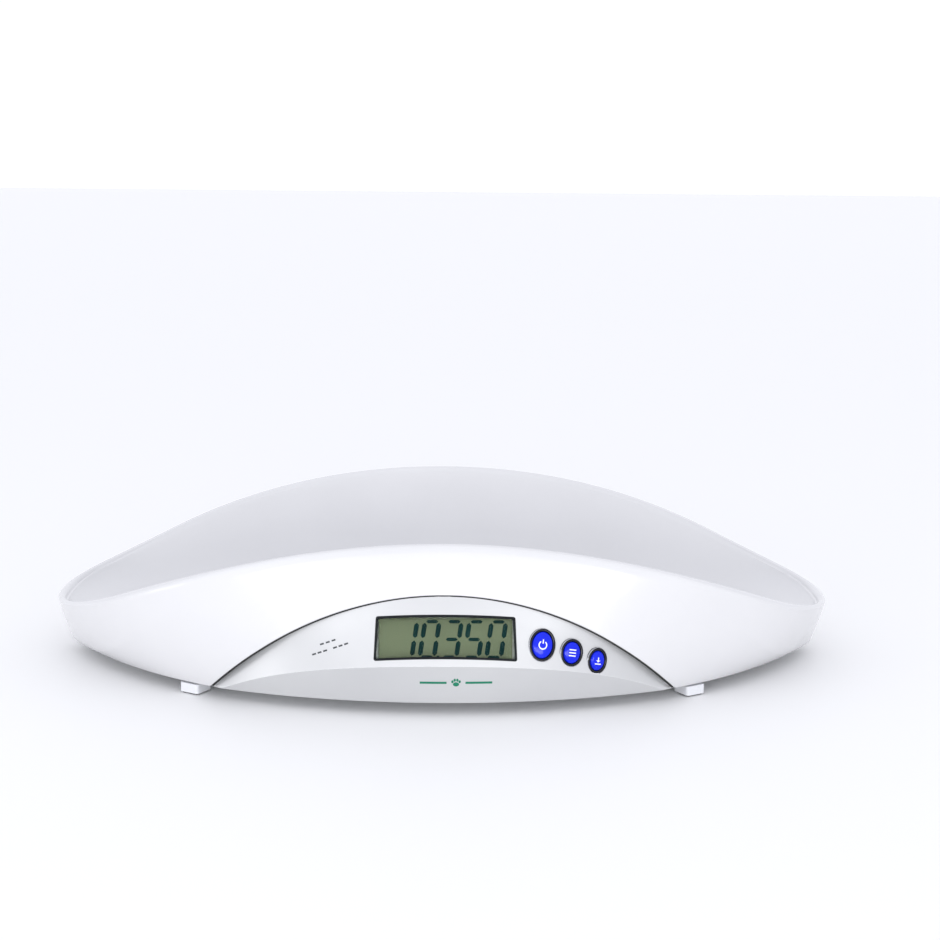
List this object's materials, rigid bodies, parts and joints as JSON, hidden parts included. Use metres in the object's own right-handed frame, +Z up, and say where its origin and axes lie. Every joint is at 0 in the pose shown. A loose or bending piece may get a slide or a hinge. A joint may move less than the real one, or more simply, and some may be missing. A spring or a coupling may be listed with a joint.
{
  "type": "animal weighing scale",
  "caption": "Low oval weighing scale with a curved white bowl, a silver front panel with a digital display and blue oval buttons, on small feet.",
  "frame": {"origin": "centre of the bounding box at floor level", "axes": "+X to the right along the bowl, -Y is the side with the display, +Z up"},
  "size_m": [0.5523, 0.3224, 0.1073],
  "materials": {
    "tray": "gloss",
    "foot_plastic": "satin",
    "panel": "satin silver",
    "frame": "gloss",
    "lens": "clear",
    "lcd_glass": "gloss",
    "diffuser": "matte",
    "connector": "matte",
    "board": "solder mask",
    "chips": "matte",
    "screws": "plated",
    "rings": "dark chrome",
    "buttons": "gloss",
    "base": "fine texture",
    "battery_case": "matte",
    "cells": "sleeve",
    "contacts": "nickel",
    "rubber": "matte",
    "load_cell_steel": "ground",
    "gauge": "foil"
  },
  "bodies": {
    "root": {"base_cover": "base", "battery_box": "battery_case", "battery_cells": "cells", "battery_plates": "contacts", "battery_springs": "contacts", "board_chips": "chips", "board_screws": "screws", "buzzer": "chips", "cell_screws": "screws", "control_panel": "panel", "cover_screws": "screws", "foot_front_left": "foot_plastic", "foot_front_right": "foot_plastic", "foot_pad_front_left": "rubber", "foot_pad_front_right": "rubber", "foot_pad_rear_left": "rubber", "foot_pad_rear_right": "rubber", "foot_rear_left": "foot_plastic", "foot_rear_right": "foot_plastic", "key_board": "board", "lcd_connector": "connector", "lcd_diffuser": "diffuser", "lcd_frame": "frame", "lcd_glass": "lcd_glass", "lcd_lens": "lens", "load_cell_front_left": "load_cell_steel", "load_cell_front_right": "load_cell_steel", "load_cell_rear_left": "load_cell_steel", "load_cell_rear_right": "load_cell_steel", "main_board": "board", "ring_memory": "rings", "ring_mode": "rings", "ring_on_zero": "rings", "strain_gauges": "gauge", "tact_switches": "chips", "tray_shell": "tray"},
    "button_on_zero": {"button_on_zero": "buttons"},
    "button_mode": {"button_mode": "buttons"},
    "button_memory": {"button_memory": "buttons"},
    "battery_door": {"battery_door": "base"}
  },
  "joints": [
    {"name": "press_on_zero", "type": "slide", "parent": "root", "child": "button_on_zero", "axis": [-0.1845, 0.9466, -0.2646], "range_m": [0, 0.001], "stiffness_N_per_m": 400, "springref_m": -0.0003},
    {"name": "press_mode", "type": "slide", "parent": "root", "child": "button_mode", "axis": [-0.2696, 0.9445, -0.1879], "range_m": [0, 0.001], "stiffness_N_per_m": 400, "springref_m": -0.0003},
    {"name": "press_memory", "type": "slide", "parent": "root", "child": "button_memory", "axis": [-0.3608, 0.9254, -0.1156], "range_m": [0, 0.001], "stiffness_N_per_m": 400, "springref_m": -0.0003},
    {"name": "battery_door_hinge", "type": "hinge", "parent": "root", "child": "battery_door", "pos_m": [0.07, 0.0545, 0.0114], "axis": [1, 0, 0], "range_deg": [0, 95]}
  ]
}
